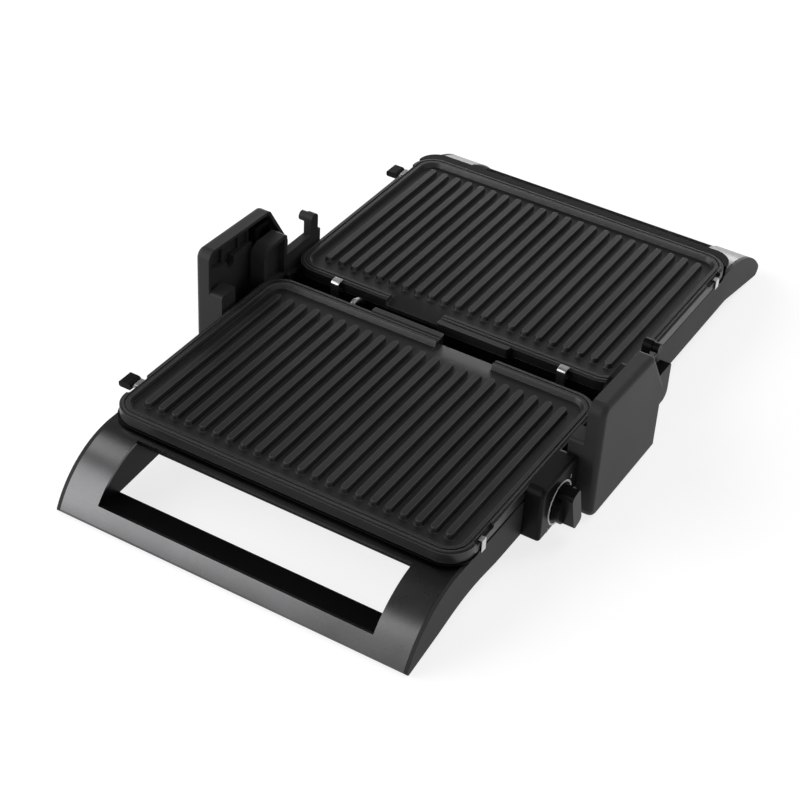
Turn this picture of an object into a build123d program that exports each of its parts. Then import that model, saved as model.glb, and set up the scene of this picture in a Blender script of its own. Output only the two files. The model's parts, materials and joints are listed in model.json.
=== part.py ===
from build123d import *
import os
from math import acos, atan2, cos, hypot, pi, sin, sqrt, tan

# Contact grill lying open flat, in millimetres.
# Z is up from the table, and the hinge line runs along X.
# The base half lies at -Y, the lid half at +Y. The pieces are drawn with the
# hinge line over the origin, and build() then centres the whole length there.

# Ribbed plates
rib_pitch = 13.0
rib_base_width = 8.5
rib_top_width = 5.5
rib_height = 4.0
rib_length = 187.0
rib_front_margin = 17.4
rib_side_gap = 6.0
plate_width = 317.4
casing_depth = 228.0
plate_overhang = 2.0
plate_corner_radius = 22.0
plate_skirt_height = 9.7
plate_skirt_wall = 3.0
plate_floor_thickness = 4.0
plate_floor_drop = 4.2
rim_width = 8.0
rim_flange_width = 2.2
rim_flange_drop = 1.0
rim_groove_width = 1.9
rim_groove_depth = 1.2
rim_groove_inset = 3.5
rim_inner_slope = 24.0
hinge_block_length = 68.0
hinge_block_reach = 6.0
hinge_block_start = -60.0
spout_width = 53.0
spout_drop = 2.6
spout_run = 15.0
catch_notch_length = 26.0
catch_notch_depth = 3.2
catch_notch_drop = 3.6
plate_ear_width = 10.0
plate_ear_reach = 3.4
plate_ear_height = 2.4

# Casings under the plates
hinge_gap = 13.0
pan_overhang = 3.3
pan_wall_inset = 1.0
pan_lip_reach = 3.6
pan_lip_side_reach = 1.6
pan_lip_depth = 26.0
seat_front_inset = 17.0
seat_hinge_inset = 13.0
pan_lip_thickness = 0.7
pan_wall = 2.5
pan_floor_level = 16.0
pan_height = 35.0
pan_corner_radius = 20.0
pan_front_slope_run = 16.5
pan_front_slope_drop = 4.0
pan_front_knee = 4.0
pan_front_round_run = 8.5
cover_thickness = 2.0
cover_margin = 5.4
cover_vent_count = 7
cover_vent_length = 44.0
cover_vent_width = 4.0
cover_vent_pitch = 14.0
lid_cover_hinge_margin = 22.0
lid_drop = 3.0
closed_gap = 1.0
plate_clearance = 0.6
lid_brim_reach = 11.0
lid_brim_half_width = 158.9
lid_brim_corner_radius = 19.0
lid_brim_thickness = 2.5
lid_brim_wall = 1.8
lid_brim_depth = 9.0
lid_lug_x = -105.0
lid_lug_width = 15.0
lid_lug_reach = 3.0

# Arched frame at the front of the base
frame_reach = 70.5
frame_top_below_lip = 3.0
frame_sagitta = 12.6
frame_toe_radius = 2.5
frame_toe_inset = 4.0
frame_shell_thickness = 2.5
frame_leg_width = 31.2
window_top_reach = 9.0
window_foot_reach = 61.0
liner_wall = 2.5
liner_ridge_reach = 34.0
liner_ridge_height = 12.7
liner_foot_reach = 61.0
foot_pad_height = 1.0
side_panel_thickness = 3.0
side_panel_low_edge = 15.0
side_panel_knee_reach = 25.0
side_panel_knee_height = 9.0
side_panel_toe_run = 4.5
side_panel_rise_height = 18.5
side_panel_rise_back = 15.0
side_panel_rise_run = 44.0
side_panel_ease = 0.6
panel_seam = 0.2

# Longer arched handle at the end of the lid
handle_reach = 92.3
handle_top_below_lip = 1.0
handle_toe_height = -2.6
handle_sagitta = 13.4
handle_toe_radius = 6.0
handle_toe_inset = 9.6
handle_window_foot_reach = 73.6
handle_ridge_reach = 42.0
handle_ridge_height = 13.5
handle_liner_foot_reach = 78.0
handle_liner_foot_height = 1.6
handle_low_edge = 13.7
handle_low_edge_reach = 3.7

# Heating
element_radius = 3.25
element_side_inset = 22.0
element_front_inset = 34.0
element_hinge_inset = 30.0
element_inner_half_width = 46.0
element_bend_radius = 22.0
reflector_side_inset = 15.4
reflector_front_inset = 26.0
reflector_hinge_inset = 22.0
reflector_thickness = 1.0
reflector_edge = 4.0
post_radius = 5.0
post_side_inset = 20.0
post_front_inset = 41.0
post_hinge_inset = 47.0
seat_post_radius = 4.5
seat_post_inset = 9.0

# Hinge towers
tower_front_reach = 84.5
tower_rear_reach = 33.5
tower_front_height = 111.0
tower_break_height = 108.0
tower_break_y = 5.0
tower_slant_foot_height = 64.0
tower_depth = 14.0
tower_wall = 3.0
tower_corner_radius = 9.0
tower_foot_radius = 11.0
tower_edge_radius = 5.0
shelf_depth = 13.0
shelf_length = 19.5
shelf_height = 73.0
ledge_depth = 7.0
ledge_height = 86.0
ledge_front_rise = 3.0
ledge_wall = 3.0
notch_radius = 5.0
notch_y = -48.0
notch_drop = 9.0
tower_rib_width = 2.0
tower_rib_depth = 3.0

# Floating hinge
float_travel = 25.0
slider_half_width = 7.7
slider_half_height = 8.0
slider_flange_half_width = 11.0
slider_flange_half_height = 4.5
slider_flange_thickness = 1.9
guide_thickness = 6.0
guide_rail = 6.0
guide_inner_gap = 2.0
guide_bottom_wall = 5.5
guide_top_wall = 4.5
pin_radius = 4.0
pin_clearance = 0.04
pin_blind_wall = 1.8
run_clearance = 0.3

# Lid arms
arm_gap = 2.2
arm_bar_width = 7.7
arm_bar_height = 15.0
arm_bar_level = 52.0
arm_bar_reach = 62.0
arm_block_width = 14.5
arm_block_front = 25.0
arm_block_rear = 10.0
arm_block_bottom = 46.0
arm_block_top = 88.0
arm_block_round = 11.0
arm_block_wall = 4.0
arm_block_recess = 6.0
arm_post_front = 47.0
arm_post_width = 11.0
arm_post_top = 86.0
arm_boss_radius = 4.5
arm_boss_length = 6.4
arm_flange_thickness = 4.0
arm_flange_bottom = 39.0
arm_flange_top = 46.0
arm_flange_reach = 74.0
arm_tower_gap = 0.5

# Chassis behind and under the hinge
beam_front = 62.0
beam_rear = 30.0
beam_bottom = 3.0
beam_height = 7.0
beam_boss_radius = 6.0
beam_boss_inset = 65.4
beam_boss_y = 40.0
bracket_width = 10.0
bracket_gap = 1.5
bracket_front = 60.0
bracket_rear = 99.0
bracket_front_height = 30.0
bracket_rear_height = 37.0
bracket_step_y = 42.0
bracket_leg_length = 24.0
bracket_corner_radius = 9.0
hinge_sweep_clearance = 1.0
beam_foot_radius = 8.0
beam_foot_inset = 7.5
beam_foot_y = 50.0
pad_radius = 4.0
pad_inset = 6.0
front_pad_inset = 5.7
front_pad_half_length = 10.0
front_pad_half_depth = 2.0

# Thermostat box and knob
box_width = 16.0
box_length = 59.7
box_tower_gap = 0.3
box_bottom = 14.0
box_height = 49.0
box_corner_radius = 7.0
box_edge_radius = 3.0
box_wall = 2.5
box_plate_gap = 0.5
knob_tower_gap = 29.2
knob_level = 34.0
knob_disc_radius = 15.5
knob_disc_height = 6.2
knob_bar_length = 38.0
knob_bar_width = 13.0
knob_bar_height = 8.5
knob_bar_round = 4.0
knob_tilt = 15.0
knob_gap = 0.4
ring_outer_radius = 19.0
ring_width = 1.6
ring_depth = 1.0
ring_proud = 0.3
ring_pin_radius = 0.7
ring_pin_count = 3
board_thickness = 1.6
board_radius = 20.0
shaft_radius = 3.0
shaft_clearance = 0.05
shaft_hole_clearance = 0.5
shaft_length = 42.0
thermostat_radius = 9.5
thermostat_length = 18.0
mark_y = 16.5
mark_z = 15.0
mark_length = 5.0
mark_width = 1.2
mark_depth = 0.4

# Plate release tabs and catches
latch_front_inset = 39.0
lid_latch_front_inset = 36.5
latch_width = 10.0
latch_sheet = 1.5
latch_level = 38.0
latch_lip_height = 1.5
latch_travel = 4.0
latch_gap = 0.6
latch_shoulder_reach = 20.0
latch_shoulder_height = 10.5
button_length = 14.0
button_width = 12.0
button_thickness = 5.6
button_reach = 12.3
button_rise = 4.5
spring_radius = 2.6
spring_wire = 0.8
catch_front_inset = 31.0
catch_width = 6.0
catch_sheet = 1.2
hook_side_inset = 48.7
hook_width = 8.0
hook_sheet = 1.4
hook_stand_off = 4.6
hook_foot = 16.0
hook_gap = 0.3
hook_reach = 2.4
hook_rim_reach = 6.4
hook_dome_radius = 3.0

# Wiring
conduit_x = -83.0
conduit_radius = 2.5
gland_radius = 5.0
gland_bore = 3.2
gland_level = 22.0
gland_proud = 8.0
gland_flange = 1.0
terminal_length = 22.0
terminal_height = 8.0
terminal_width = 8.0
terminal_holes = 3

# Screws
screw_shank_radius = 1.5
screw_head_radius = 3.2
screw_head_height = 1.6
screw_length = 9.0
screw_clearance = 0.1
seat_clearance = 0.1

# Levels and lines that follow from the sizes above
pan_lip_level = pan_floor_level + pan_height
skirt_bottom = pan_lip_level + 0.5
rim_top = skirt_bottom + plate_skirt_height
plate_valley = rim_top - plate_floor_drop
rib_plane = plate_valley + rib_height
plate_underside = plate_valley - plate_floor_thickness
hinge_level = rib_plane + (closed_gap - lid_drop) / 2
plate_half = plate_width / 2
front_line = -(hinge_gap + casing_depth)
plate_front = front_line - plate_overhang
rib_room = plate_width - 2 * (rim_width + rib_side_gap) - rib_base_width
rib_count = int(rib_room / rib_pitch) + 1
pan_half = plate_half - pan_overhang
pan_front = front_line - pan_lip_reach
latch_y = front_line + latch_front_inset
lid_latch_y = front_line + lid_latch_front_inset
catch_y = front_line + catch_front_inset
frame_top = pan_lip_level - frame_top_below_lip
handle_top = pan_lip_level - lid_drop - handle_top_below_lip
panel_inner = pan_half + seat_clearance
panel_outer = panel_inner + side_panel_thickness
shell_half = panel_inner - panel_seam
window_half = shell_half - frame_leg_width
arm_inner = panel_outer + arm_gap
block_inner = arm_inner + 0.3
block_outer = block_inner + arm_block_width
tower_inner = block_outer + arm_tower_gap
tower_outer = tower_inner + tower_depth
cavity_outer = tower_outer - tower_wall
guide_inner = tower_inner + guide_inner_gap
guide_outer = guide_inner + guide_thickness
bracket_inner = panel_outer + bracket_gap
bracket_outer = bracket_inner + bracket_width
beam_top = beam_bottom + beam_height
box_outer = panel_outer + box_width
reflector_half_width = pan_half - reflector_side_inset
element_half_width = reflector_half_width - element_side_inset
post_x = reflector_half_width - post_side_inset
hook_x = plate_half - hook_side_inset
beam_boss_x = pan_half - beam_boss_inset
beam_foot_x = panel_inner - beam_foot_inset
knob_y = -tower_front_reach - box_tower_gap - knob_tower_gap
far = 4 * plate_width
reflector_level = plate_underside - 2 * (element_radius + seat_clearance) - 0.4


def slab(x0, x1, y0, y1, z0, z1):
    """Box between two corners."""
    middle = Pos((x0 + x1) / 2, (y0 + y1) / 2, (z0 + z1) / 2)
    return middle * Box(abs(x1 - x0), abs(y1 - y0), abs(z1 - z0))


def rod_x(y, z, radius, x0, x1):
    """Round bar along X."""
    return Pos((x0 + x1) / 2, y, z) * Rot(0, 90, 0) * Cylinder(radius, abs(x1 - x0))


def rod_y(x, z, radius, y0, y1):
    """Round bar along Y."""
    return Pos(x, (y0 + y1) / 2, z) * Rot(90, 0, 0) * Cylinder(radius, abs(y1 - y0))


def rod_z(x, y, radius, z0, z1):
    """Round bar along Z."""
    return Pos(x, y, (z0 + z1) / 2) * Cylinder(radius, abs(z1 - z0))


def rounded_edges(points):
    """Edges of a closed outline; a third number on a corner rounds it."""
    count = len(points)
    starts = []
    ends = []
    arcs = []
    for index, point in enumerate(points):
        corner = Vector(point[0], point[1])
        radius = point[2] if len(point) > 2 else 0
        if radius == 0:
            starts.append(corner)
            ends.append(corner)
            arcs.append(None)
            continue
        before = (Vector(*points[index - 1][:2]) - corner).normalized()
        after = (Vector(*points[(index + 1) % count][:2]) - corner).normalized()
        half = acos(max(-1.0, min(1.0, before.dot(after)))) / 2
        reach = radius / tan(half)
        inward = (before + after).normalized()
        middle = corner + inward * (radius / sin(half) - radius)
        starts.append(corner + before * reach)
        ends.append(corner + after * reach)
        arcs.append(middle)
    edges = []
    for index in range(count):
        following = (index + 1) % count
        if arcs[index] is not None:
            edges.append(ThreePointArc(starts[index], arcs[index], ends[index]))
        if (starts[following] - ends[index]).length > 1e-6:
            edges.append(Line(ends[index], starts[following]))
    return edges


def flat_face(points):
    """Face in the XY plane inside a closed outline."""
    return make_face(Curve() + rounded_edges(points))


def prism_x(points, x0, x1):
    """Outline given as (y, z), drawn out along X."""
    plane = Plane(origin=(x0, 0, 0), x_dir=(0, 1, 0), z_dir=(1, 0, 0))
    return extrude(plane * flat_face(points), amount=x1 - x0, dir=(1, 0, 0))


def prism_y(points, y0, y1):
    """Outline given as (x, z), drawn out along Y."""
    plane = Plane(origin=(0, y0, 0), x_dir=(1, 0, 0), z_dir=(0, -1, 0))
    return extrude(plane * flat_face(points), amount=y1 - y0, dir=(0, 1, 0))


def prism_z(points, z0, z1):
    """Outline given as (x, y), drawn out along Z."""
    plane = Plane(origin=(0, 0, z0))
    return extrude(plane * flat_face(points), amount=z1 - z0, dir=(0, 0, 1))


def mirror_left(shape):
    """Copy of a right-hand piece for the left side."""
    return mirror(shape, about=Plane.YZ)


def lid_side(shape):
    """Piece drawn for the base half, turned over to the lid half."""
    return mirror(shape, about=Plane.XZ)


def group(shapes):
    """Several separate solids kept in one node."""
    return Compound(children=list(shapes))


def inset(points, distance):
    """Open line of corners moved sideways, to its right, by a distance."""
    moved = []
    for index in range(len(points) - 1):
        a = points[index]
        b = points[index + 1]
        length = hypot(b[0] - a[0], b[1] - a[1])
        nx = (b[1] - a[1]) / length * distance
        ny = -(b[0] - a[0]) / length * distance
        moved.append(((a[0] + nx, a[1] + ny), (b[0] + nx, b[1] + ny)))
    result = [moved[0][0]]
    for first, second in zip(moved, moved[1:]):
        (x1, y1), (x2, y2) = first
        (x3, y3), (x4, y4) = second
        cross = (x1 - x2) * (y3 - y4) - (y1 - y2) * (x3 - x4)
        if abs(cross) < 1e-9:
            result.append(second[0])
            continue
        p = x1 * y2 - y1 * x2
        q = x3 * y4 - y3 * x4
        x = (p * (x3 - x4) - (x1 - x2) * q) / cross
        y = (p * (y3 - y4) - (y1 - y2) * q) / cross
        result.append((x, y))
    result.append(moved[-1][1])
    return result


# Ribbed plate
def plate_outline(shrink, radius, z0, z1):
    """Rounded rectangle of the plate, made smaller by an even margin."""
    left = -plate_half + shrink
    right = plate_half - shrink
    front = plate_front + shrink
    rear = -hinge_gap - shrink
    points = [
        (left, front, radius),
        (right, front, radius),
        (right, rear, radius),
        (left, rear, radius),
    ]
    return prism_z(points, z0, z1)


def ribbed_plate():
    """Cast plate with ribs, double rim, grease spout, hinge block and catch notches."""
    body = plate_outline(0, plate_corner_radius, skirt_bottom, rim_top)
    block_end = hinge_block_start + hinge_block_length
    block = prism_z(
        [
            (hinge_block_start, -hinge_gap - rim_width),
            (block_end, -hinge_gap - rim_width),
            (block_end, -hinge_gap + hinge_block_reach, 2.0),
            (hinge_block_start, -hinge_gap + hinge_block_reach, 2.0),
        ],
        skirt_bottom + 1.0,
        rim_top,
    )
    body += block
    for side in (-1, 1):
        body += slab(
            side * hook_x - plate_ear_width / 2,
            side * hook_x + plate_ear_width / 2,
            -hinge_gap - plate_skirt_wall / 2,
            -hinge_gap + plate_ear_reach,
            skirt_bottom,
            skirt_bottom + plate_ear_height,
        )
    under_radius = plate_corner_radius - plate_skirt_wall
    body -= plate_outline(plate_skirt_wall, under_radius, skirt_bottom - 1, plate_underside)
    well_radius = plate_corner_radius - rim_width
    well = plate_outline(rim_width, well_radius, rim_top, rim_top + 1)
    mouth = well.faces().sort_by(Axis.Z)[0]
    body -= well
    body -= extrude(mouth, amount=plate_floor_drop, dir=(0, 0, -1), taper=rim_inner_slope)
    groove_in = rim_groove_inset + rim_groove_width
    groove = plate_outline(
        rim_groove_inset, plate_corner_radius - rim_groove_inset, rim_top - rim_groove_depth, rim_top + 1
    )
    groove -= plate_outline(
        groove_in, plate_corner_radius - groove_in, rim_top - rim_groove_depth - 1, rim_top + 2
    )
    body -= groove
    flange = plate_outline(-1, plate_corner_radius + 1, rim_top - rim_flange_drop, rim_top + 1)
    flange -= plate_outline(
        rim_flange_width, plate_corner_radius - rim_flange_width, rim_top - 2 * rim_flange_drop, rim_top + 2
    )
    body -= flange
    spout_end = block_end + spout_width
    spout = prism_x(
        [
            (-hinge_gap - spout_run, plate_valley),
            (-hinge_gap + 1, plate_valley - spout_drop * (spout_run + 1) / spout_run),
            (-hinge_gap + 1, rim_top + 1),
            (-hinge_gap - spout_run, rim_top + 1),
        ],
        block_end,
        spout_end,
    )
    body -= spout
    for side in (-1, 1):
        body -= slab(
            side * (plate_half - catch_notch_depth),
            side * (plate_half + 1),
            (latch_y + catch_y) / 2 - catch_notch_length / 2,
            (latch_y + catch_y) / 2 + catch_notch_length / 2,
            rim_top - catch_notch_drop,
            rim_top + 1,
        )
    rib_y = front_line + rib_front_margin + rib_length / 2
    slope = atan2((rib_base_width - rib_top_width) / 2, rib_height) * 180 / pi
    bottom = Plane(origin=(0, 0, plate_valley))
    first = -rib_pitch * (rib_count - 1) / 2
    rib_face = bottom * Pos(0, rib_y) * Rot(0, 0, 90) * SlotOverall(rib_length, rib_base_width)
    rib = extrude(rib_face, amount=rib_height, taper=slope)
    ribs = [Pos(first + rib_pitch * index, 0, 0) * rib for index in range(rib_count)]
    body = body.fuse(*ribs)
    return body


# Casing of one half
def pan_profile():
    """Outer line of the casing from the lip at the front to the hinge side, as (y, z)."""
    knee = front_line + pan_wall_inset
    slope_y = knee + pan_front_slope_run
    slope_z = pan_floor_level + pan_front_knee
    return [
        (knee, pan_lip_level),
        (knee, pan_lip_level - pan_front_slope_drop),
        (slope_y, slope_z),
        (slope_y + pan_front_round_run, pan_floor_level),
        (-hinge_gap, pan_floor_level),
        (-hinge_gap, pan_lip_level),
    ]


def pan_envelope(grow):
    """Filled casing shape, made larger by a clearance."""
    line = inset(pan_profile(), grow)
    line[0] = (line[0][0], pan_lip_level + 5)
    line[-1] = (line[-1][0], pan_lip_level + 5)
    body = prism_x(line, -pan_half - grow, pan_half + grow)
    radius = pan_corner_radius + grow
    front = pan_profile()[0][0] - grow
    plan = [
        (-pan_half - grow, front, radius),
        (pan_half + grow, front, radius),
        (pan_half + grow, 0),
        (-pan_half - grow, 0),
    ]
    return body & prism_z(plan, -5, pan_lip_level + 20)


def post_places():
    """Places of the four posts that carry reflector and screws."""
    front = front_line + post_front_inset
    rear = -hinge_gap - post_hinge_inset
    return [(side * post_x, y) for side in (-1, 1) for y in (front, rear)]


def casing(latch_at):
    """Tray-shaped casing with lip, seat posts for the plate and posts for the reflector."""
    outer = pan_envelope(0) & slab(-far, far, -far, 0, -10, pan_lip_level)
    lip_radius = pan_corner_radius + pan_lip_reach
    lip_half = plate_half + pan_lip_side_reach
    lip = prism_z(
        [
            (-lip_half, pan_front, lip_radius),
            (lip_half, pan_front, lip_radius),
            (lip_half, pan_front + pan_lip_depth),
            (-lip_half, pan_front + pan_lip_depth),
        ],
        pan_lip_level - pan_lip_thickness,
        pan_lip_level,
    )
    body = outer + lip
    body -= pan_envelope(-pan_wall)
    seat_x = pan_half - seat_post_inset
    seat_y = (front_line + seat_front_inset, -hinge_gap - seat_hinge_inset)
    seats = [(side * seat_x, y) for side in (-1, 1) for y in seat_y]
    room = pan_envelope(0) & slab(-far, far, -far, 0, 0, plate_underside)
    for x, y in seats:
        post = rod_z(x, y, seat_post_radius, pan_floor_level + pan_wall / 2, plate_underside)
        body += post & room
    for x, y in post_places():
        body += rod_z(x, y, post_radius, pan_floor_level + pan_wall / 2, reflector_level)
        hole = screw_shank_radius + screw_clearance
        body -= rod_z(x, y, hole, pan_floor_level - 1, pan_floor_level + screw_length)
    slot = slab(
        -pan_half - 2,
        -pan_half + pan_wall + 2,
        latch_at - latch_width / 2 - 0.5,
        latch_at + latch_width / 2 + 0.5,
        latch_level - 0.5,
        latch_level + latch_sheet + 0.5,
    )
    return body - slot


def lid_brim():
    """Brim that the lid casing reaches over the base with, and its small lug."""
    low = pan_lip_level - pan_lip_thickness
    top = rim_top - rim_flange_drop
    radius = lid_brim_corner_radius
    front = front_line - lid_brim_reach
    rear = front_line + lid_brim_depth
    half = lid_brim_half_width
    outline = [(-half, front, radius), (half, front, radius), (half, rear), (-half, rear)]
    gap = plate_clearance
    inner_radius = plate_corner_radius + gap
    outer_radius = inner_radius + lid_brim_wall
    body = prism_z(outline, top - lid_brim_thickness, top)
    body += plate_outline(-gap - lid_brim_wall, outer_radius, low, top) & slab(-half, half, front, rear, low, top)
    lug = [
        (lid_lug_x - lid_lug_width / 2, front + 2),
        (lid_lug_x - lid_lug_width / 2, front - lid_lug_reach, 2.5),
        (lid_lug_x + lid_lug_width / 2, front - lid_lug_reach, 2.5),
        (lid_lug_x + lid_lug_width / 2, front + 2),
    ]
    body += prism_z(lug, top - lid_brim_thickness, top)
    return body - plate_outline(-gap, inner_radius, low - 1, top + 1)


def bottom_cover(rear_margin):
    """Flat cover under a casing, with a row of vents and screw holes."""
    top = pan_floor_level
    low = top - cover_thickness
    slope_y = pan_profile()[3][0]
    half = pan_half - cover_margin
    rear = -hinge_gap - rear_margin
    plan = [(-half, slope_y, 12), (half, slope_y, 12), (half, rear, 6), (-half, rear, 6)]
    body = prism_z(plan, low, top)
    for index in range(cover_vent_count):
        x = (index - (cover_vent_count - 1) / 2) * cover_vent_pitch
        vent = SlotOverall(cover_vent_length, cover_vent_width)
        face = Plane(origin=(x, (slope_y + rear) / 2, low - 1)) * Rot(0, 0, 90) * vent
        body -= extrude(face, amount=cover_thickness + 2, dir=(0, 0, 1))
    for x, y in post_places():
        body -= rod_z(x, y, screw_shank_radius + screw_clearance, low - 1, top + 1)
    return body


def cover_screws():
    """Screws that hold a cover to the casing above it."""
    low = pan_floor_level - cover_thickness
    screws = []
    for x, y in post_places():
        head = rod_z(x, y, screw_head_radius, low - screw_head_height, low)
        head -= slab(x - 2.2, x + 2.2, y - 0.4, y + 0.4, low - screw_head_height - 1, low - 0.8)
        head -= slab(x - 0.4, x + 0.4, y - 2.2, y + 2.2, low - screw_head_height - 1, low - 0.8)
        shank = rod_z(x, y, screw_shank_radius, low, low + screw_length)
        screws.append(head + shank)
    return screws


# Arched frame of one half
class Half:
    """Level, arch and lower edge of the frame of one half, drawn on the base side."""

    def __init__(self, drop, top, reach, toe_height, sagitta, toe_radius, toe_inset):
        self.drop = drop
        self.top = top
        self.front = front_line - reach
        self.toe_height = toe_height
        self.sagitta = sagitta
        self.toe_radius = toe_radius
        self.toe_skin = self.front + toe_inset

    def window(self, foot_reach, ridge_reach, ridge_height):
        """Place of the window's front edge and of the ridge behind the front bar."""
        self.window_foot = front_line - foot_reach
        self.ridge_y = front_line - ridge_reach
        self.ridge_height = ridge_height
        return self

    def sole(self, shell_line, liner_foot_reach_here, liner_foot_height, panel_line):
        """Lower edges of shell, liner and cheek."""
        self.shell_line = shell_line
        self.liner_foot_y = front_line - liner_foot_reach_here
        self.liner_foot_height = liner_foot_height
        self.panel_line = panel_line
        return self


def eased(before, corner, after, share):
    """Corner of a line, replaced by short steps along a smooth curve."""
    start = [c + (b - c) * share for b, c in zip(before, corner)]
    end = [c + (a - c) * share for a, c in zip(after, corner)]
    steps = 6
    points = []
    for index in range(steps + 1):
        s = index / steps
        weights = ((1 - s) ** 2, 2 * s * (1 - s), s ** 2)
        y = weights[0] * start[0] + weights[1] * corner[0] + weights[2] * end[0]
        z = weights[0] * start[1] + weights[1] * corner[1] + weights[2] * end[1]
        points.append((y, z))
    return points


def base_half():
    """Frame of the base, which stands on its sole."""
    level = foot_pad_height
    rise_y = front_line + side_panel_rise_back
    half = Half(0, frame_top, frame_reach, level, frame_sagitta, frame_toe_radius, frame_toe_inset)
    half.window(window_foot_reach, liner_ridge_reach, liner_ridge_height)
    shell_line = [(front_line, level)]
    knee = (front_line - side_panel_knee_reach, side_panel_knee_height)
    rise = (rise_y, side_panel_rise_height)
    rear = (rise_y + side_panel_rise_run, side_panel_low_edge)
    panel_line = [(half.front + side_panel_toe_run, level), knee]
    panel_line += eased(knee, rise, rear, side_panel_ease)
    panel_line += [rear, (-hinge_gap, side_panel_low_edge), (-hinge_gap, half.top)]
    return half.sole(shell_line, liner_foot_reach, level, panel_line)


def lid_half():
    """Handle of the lid, longer than the frame of the base and round at its toe."""
    toe = (handle_toe_height, handle_sagitta, handle_toe_radius, handle_toe_inset)
    half = Half(lid_drop, handle_top, handle_reach, *toe)
    half.window(handle_window_foot_reach, handle_ridge_reach, handle_ridge_height)
    low = (front_line - handle_low_edge_reach, handle_low_edge)
    panel_line = [low, (-hinge_gap, side_panel_low_edge - lid_drop), (-hinge_gap, half.top)]
    return half.sole([low], handle_liner_foot_reach, handle_liner_foot_height, panel_line)


def frame_circle(half):
    """Centre and radius of the arch, from its chord and rise."""
    top = (front_line, half.top)
    foot = (half.front, half.toe_height)
    length = hypot(foot[0] - top[0], foot[1] - top[1])
    radius = (length ** 2 / 4 + half.sagitta ** 2) / (2 * half.sagitta)
    normal = ((foot[1] - top[1]) / length, -(foot[0] - top[0]) / length)
    middle = ((top[0] + foot[0]) / 2, (top[1] + foot[1]) / 2)
    centre = (
        middle[0] - normal[0] * (radius - half.sagitta),
        middle[1] - normal[1] * (radius - half.sagitta),
    )
    return centre, radius


def arch_point(y, depth, half):
    """Point of the arch at a given y, a depth below its outer face."""
    centre, radius = frame_circle(half)
    reach = radius - depth
    return (y, centre[1] + sqrt(reach ** 2 - (y - centre[0]) ** 2))


def arch_face(y_top, y_foot, depth, rest, half):
    """Face under a piece of the arch, closed by further corners."""
    start = arch_point(y_top, depth, half)
    end = arch_point(y_foot, depth, half)
    middle = arch_point((y_top + y_foot) / 2, depth, half)
    line = [start] + [corner[:2] for corner in reversed(rest)] + [end]
    edges = [ThreePointArc(start, middle, end)]
    for first, second in zip(line, line[1:]):
        edges.append(Line(first, second))
    return make_face(Curve() + edges)


def arch_prism(y_top, y_foot, depth, rest, x0, x1, half):
    """Solid under a piece of the arch, drawn out along X."""
    plane = Plane(origin=(x0, 0, 0), x_dir=(0, 1, 0), z_dir=(1, 0, 0))
    face = plane * arch_face(y_top, y_foot, depth, rest, half)
    return extrude(face, amount=x1 - x0, dir=(1, 0, 0))


def toed_prism(rest, x0, x1, half):
    """Solid under the whole arch with its toe rounded."""
    body = arch_prism(front_line, half.front, 0, rest, x0, x1, half)
    toe = body.edges().filter_by(Axis.X).sort_by(Axis.Y)[0]
    return fillet(toe, half.toe_radius)


def casing_room(grow, drop):
    """Casing shape of one half at its own level."""
    return Pos(0, 0, -drop) * pan_envelope(grow)


def window_prism(grow, half):
    """Opening of the frame between arch, casing and front bar."""
    ridge = (half.ridge_y - grow, half.ridge_height)
    wall = inset(pan_profile()[1:3], liner_wall + 0.3 - grow)
    high = (wall[0][0], wall[0][1] - half.drop)
    low = (wall[1][0], wall[1][1] - half.drop)
    run = (low[0] - high[0]) / (high[1] - low[1])
    top_y = front_line - window_top_reach + grow
    foot_y = half.window_foot - grow
    points = [
        (top_y, frame_top + 30),
        (top_y, arch_point(top_y, 4, half)[1]),
        high,
        low,
        (low[0] + run * 30, low[1] - 30),
        (ridge[0], low[1] - 30),
        ridge,
        (foot_y, arch_point(foot_y, 0, half)[1]),
        (foot_y - 30, frame_top + 30),
    ]
    return prism_x(points, -window_half - grow, window_half + grow)


def frame_shell(half):
    """Outer skin of the arch with its two legs, front bar and corner decks."""
    t = frame_shell_thickness
    rear = front_line + pan_corner_radius + 2
    deck = slab(-shell_half, shell_half, front_line - 0.5, rear, half.top - t, half.top)
    outer = toed_prism(half.shell_line, -shell_half, shell_half, half)
    rest = [(half.toe_skin, -40), (front_line + 1, -40)]
    inner = arch_prism(front_line + 1, half.toe_skin, t, rest, -far, far, half)
    body = outer - inner + deck
    body -= window_prism(0, half)
    return body - casing_room(seat_clearance, half.drop)


def frame_bottom_line(half):
    """Lower edge of the liner from its foot to the casing, as (y, z)."""
    wall = inset(pan_profile()[1:4], liner_wall + 0.3)
    return [
        (half.toe_skin + 1, half.liner_foot_height),
        (half.liner_foot_y, half.liner_foot_height),
        (half.ridge_y, half.ridge_height),
        (wall[1][0] + 1.5, wall[1][1] - 1.0 - half.drop),
    ]


def frame_liner(half):
    """Black inner moulding of the arch: leg boxes, front bar and window walls."""
    depth = frame_shell_thickness + 0.1
    foot = half.toe_skin + 1
    line = frame_bottom_line(half)
    rest = line + [(front_line + 3, half.top - 8)]
    outer = arch_prism(front_line + 1, foot, depth, rest, -shell_half, shell_half, half)
    body = outer - window_prism(0, half)
    lift = liner_wall
    start_y = front_line - window_top_reach + 1
    end_y = foot + lift
    hollow_line = [
        (end_y, half.liner_foot_height + lift),
        (half.liner_foot_y, half.liner_foot_height + lift),
        (half.ridge_y + 1, half.ridge_height + lift),
        (line[-1][0] - 6, line[-1][1] + lift + 2),
    ]
    hollow = arch_prism(start_y, end_y, 0, hollow_line, window_half + lift, shell_half - lift, half)
    hollow -= casing_room(seat_clearance + lift, half.drop)
    body -= hollow
    body -= mirror_left(hollow)
    body -= casing_room(seat_clearance, half.drop)
    return body - frame_shell(half)


def side_panel(half):
    """Side cheek from the toe of the arch to the hinge side."""
    return toed_prism(half.panel_line, panel_inner, panel_outer, half)


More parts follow.
